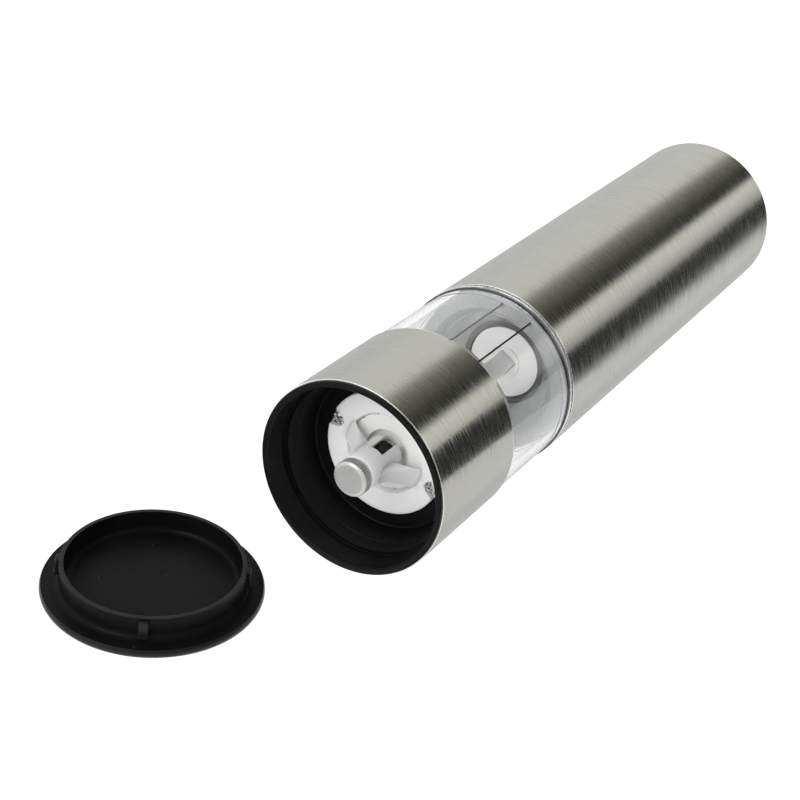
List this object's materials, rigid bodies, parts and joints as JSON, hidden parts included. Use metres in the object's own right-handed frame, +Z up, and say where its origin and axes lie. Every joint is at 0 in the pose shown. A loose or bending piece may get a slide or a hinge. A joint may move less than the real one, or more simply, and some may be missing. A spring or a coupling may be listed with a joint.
{
  "type": "electric pepper mill",
  "caption": "Cylindrical battery pepper mill in brushed steel with a clear spice chamber, lying on its side, grinder and knurled adjuster in the open mouth, loose black cap beside it.",
  "frame": {"origin": "middle of the footprint of the lying mill and its cap, on the surface they lie on", "axes": "+Z up; +Y along the mill's axis from the mouth towards the push button; +X across"},
  "size_m": [0.0798, 0.277, 0.05],
  "materials": {
    "brushed_sleeve": "circumferentially brushed steel",
    "black_barrel": "moulded black plastic, satin",
    "black_chassis": "moulded black plastic",
    "black_cap": "moulded black plastic, satin",
    "clear_chamber": "clear moulded plastic",
    "white_base": "white moulded plastic",
    "white_gears": "white moulded plastic",
    "milky_plug": "milky moulded plastic",
    "ceramic": "white ceramic",
    "bright_steel": "bright steel",
    "knob_metal": "satin turned metal with a bright chamfer",
    "brass": "plain brass",
    "black_steel": "blackened steel",
    "seal_rubber": "black rubber",
    "motor_steel": "plated steel",
    "core_iron": "laminated iron",
    "magnet": "ferrite",
    "end_cap_plastic": "ivory plastic",
    "lamp_lens": "clear lamp lens",
    "board": "green lacquered board",
    "cell_jacket": "dark printed-free jacket",
    "red_plunger": "red plastic",
    "button_metal": "satin metallic finish"
  },
  "bodies": {
    "grinder_unit": {"lower_sleeve": "brushed_sleeve", "lower_barrel": "black_barrel", "spice_chamber": "clear_chamber", "grinder_base": "white_base", "base_screws": "bright_steel", "burr_ring": "ceramic", "led_lamp": "lamp_lens", "lamp_board": "board", "lamp_rods": "bright_steel"},
    "cap": {"bottom_cap": "black_cap"},
    "knob": {"adjuster_knob": "knob_metal"},
    "thrust": {"thrust_cup": "black_steel"},
    "drive": {"drive_shaft": "bright_steel", "burr_cone": "ceramic"},
    "motor_unit": {"bulkhead": "milky_plug", "seal_ring": "seal_rubber", "lamp_contacts": "brass", "gearbox_housing": "white_gears", "gear_cover": "white_gears", "cover_screws": "bright_steel", "motor_can": "motor_steel", "motor_magnets": "magnet", "motor_end_cap": "end_cap_plastic", "motor_terminals": "brass", "motor_screws": "bright_steel", "chassis_tube": "black_chassis", "battery_case": "black_chassis", "aa_cells": "cell_jacket", "contact_springs": "bright_steel", "contact_plates": "bright_steel", "switch_body": "black_chassis"},
    "output": {"output_carrier": "white_gears"},
    "first_carrier": {"first_carrier": "white_gears"},
    "armature": {"motor_armature": "core_iron", "motor_pinion": "brass"},
    "plunger": {"switch_plunger": "red_plunger"},
    "shell": {"upper_sleeve": "brushed_sleeve", "top_cap": "black_chassis", "button_spring": "bright_steel"},
    "button": {"push_button": "button_metal"},
    "second_planet_1": {"second_planet_1": "white_gears"},
    "first_planet_1": {"first_planet_1": "white_gears"},
    "second_planet_2": {"second_planet_2": "white_gears"},
    "first_planet_2": {"first_planet_2": "white_gears"},
    "second_planet_3": {"second_planet_3": "white_gears"},
    "first_planet_3": {"first_planet_3": "white_gears"}
  },
  "joints": [
    {"name": "cap_lift", "type": "slide", "parent": "grinder_unit", "child": "cap", "axis": [0, 0, 1], "range_m": [0, 0.06]},
    {"name": "knob_turn", "type": "hinge", "parent": "grinder_unit", "child": "knob", "pos_m": [0.0149, -0.07817, 0.025], "axis": [0, 1, 0], "range_deg": [0, 360]},
    {"name": "burr_feed", "type": "slide", "parent": "grinder_unit", "child": "thrust", "axis": [0, 1, 0], "range_m": [0, 0.0007]},
    {"name": "drive_spin", "type": "hinge", "parent": "thrust", "child": "drive", "pos_m": [0.0149, -0.07817, 0.025], "axis": [0, 1, 0], "continuous": true},
    {"name": "motor_unit_pull", "type": "slide", "parent": "grinder_unit", "child": "motor_unit", "axis": [0, 1, 0], "range_m": [0, 0.045]},
    {"name": "output_spin", "type": "hinge", "parent": "motor_unit", "child": "output", "pos_m": [0.0149, -0.07817, 0.025], "axis": [0, 1, 0], "continuous": true},
    {"name": "first_carrier_spin", "type": "hinge", "parent": "motor_unit", "child": "first_carrier", "pos_m": [0.0149, -0.07817, 0.025], "axis": [0, 1, 0], "continuous": true},
    {"name": "motor_spin", "type": "hinge", "parent": "motor_unit", "child": "armature", "pos_m": [0.0149, -0.07817, 0.025], "axis": [0, 1, 0], "continuous": true},
    {"name": "shell_pull", "type": "slide", "parent": "motor_unit", "child": "shell", "axis": [0, 1, 0], "range_m": [0, 0.15]},
    {"name": "button_press", "type": "slide", "parent": "shell", "child": "button", "axis": [0, -1, 0], "range_m": [0, 0.002], "stiffness_N_per_m": 600, "deforming": ["button_spring"]},
    {"name": "plunger_press", "type": "slide", "parent": "motor_unit", "child": "plunger", "axis": [0, -1, 0], "range_m": [0, 0.002]},
    {"name": "second_planet_1_spin", "type": "hinge", "parent": "output", "child": "second_planet_1", "pos_m": [0.0233, -0.07817, 0.025], "axis": [0, 1, 0], "continuous": true},
    {"name": "first_planet_1_spin", "type": "hinge", "parent": "first_carrier", "child": "first_planet_1", "pos_m": [0.0233, -0.07817, 0.025], "axis": [0, 1, 0], "continuous": true},
    {"name": "second_planet_2_spin", "type": "hinge", "parent": "output", "child": "second_planet_2", "pos_m": [0.0107, -0.07817, 0.01773], "axis": [0, 1, 0], "continuous": true},
    {"name": "first_planet_2_spin", "type": "hinge", "parent": "first_carrier", "child": "first_planet_2", "pos_m": [0.0107, -0.07817, 0.01773], "axis": [0, 1, 0], "continuous": true},
    {"name": "second_planet_3_spin", "type": "hinge", "parent": "output", "child": "second_planet_3", "pos_m": [0.0107, -0.07817, 0.03227], "axis": [0, 1, 0], "continuous": true},
    {"name": "first_planet_3_spin", "type": "hinge", "parent": "first_carrier", "child": "first_planet_3", "pos_m": [0.0107, -0.07817, 0.03227], "axis": [0, 1, 0], "continuous": true}
  ],
  "couplings": [
    {"joint": "knob_turn", "follows": "burr_feed", "rad_per_m": 8976},
    {"joint": "output_spin", "follows": "drive_spin", "ratio": 1},
    {"joint": "first_carrier_spin", "follows": "drive_spin", "ratio": 4},
    {"joint": "motor_spin", "follows": "drive_spin", "ratio": 16},
    {"joint": "plunger_press", "follows": "button_press", "ratio": 1},
    {"joint": "second_planet_1_spin", "follows": "drive_spin", "ratio": -3},
    {"joint": "first_planet_1_spin", "follows": "drive_spin", "ratio": -12},
    {"joint": "second_planet_2_spin", "follows": "drive_spin", "ratio": -3},
    {"joint": "first_planet_2_spin", "follows": "drive_spin", "ratio": -12},
    {"joint": "second_planet_3_spin", "follows": "drive_spin", "ratio": -3},
    {"joint": "first_planet_3_spin", "follows": "drive_spin", "ratio": -12}
  ]
}
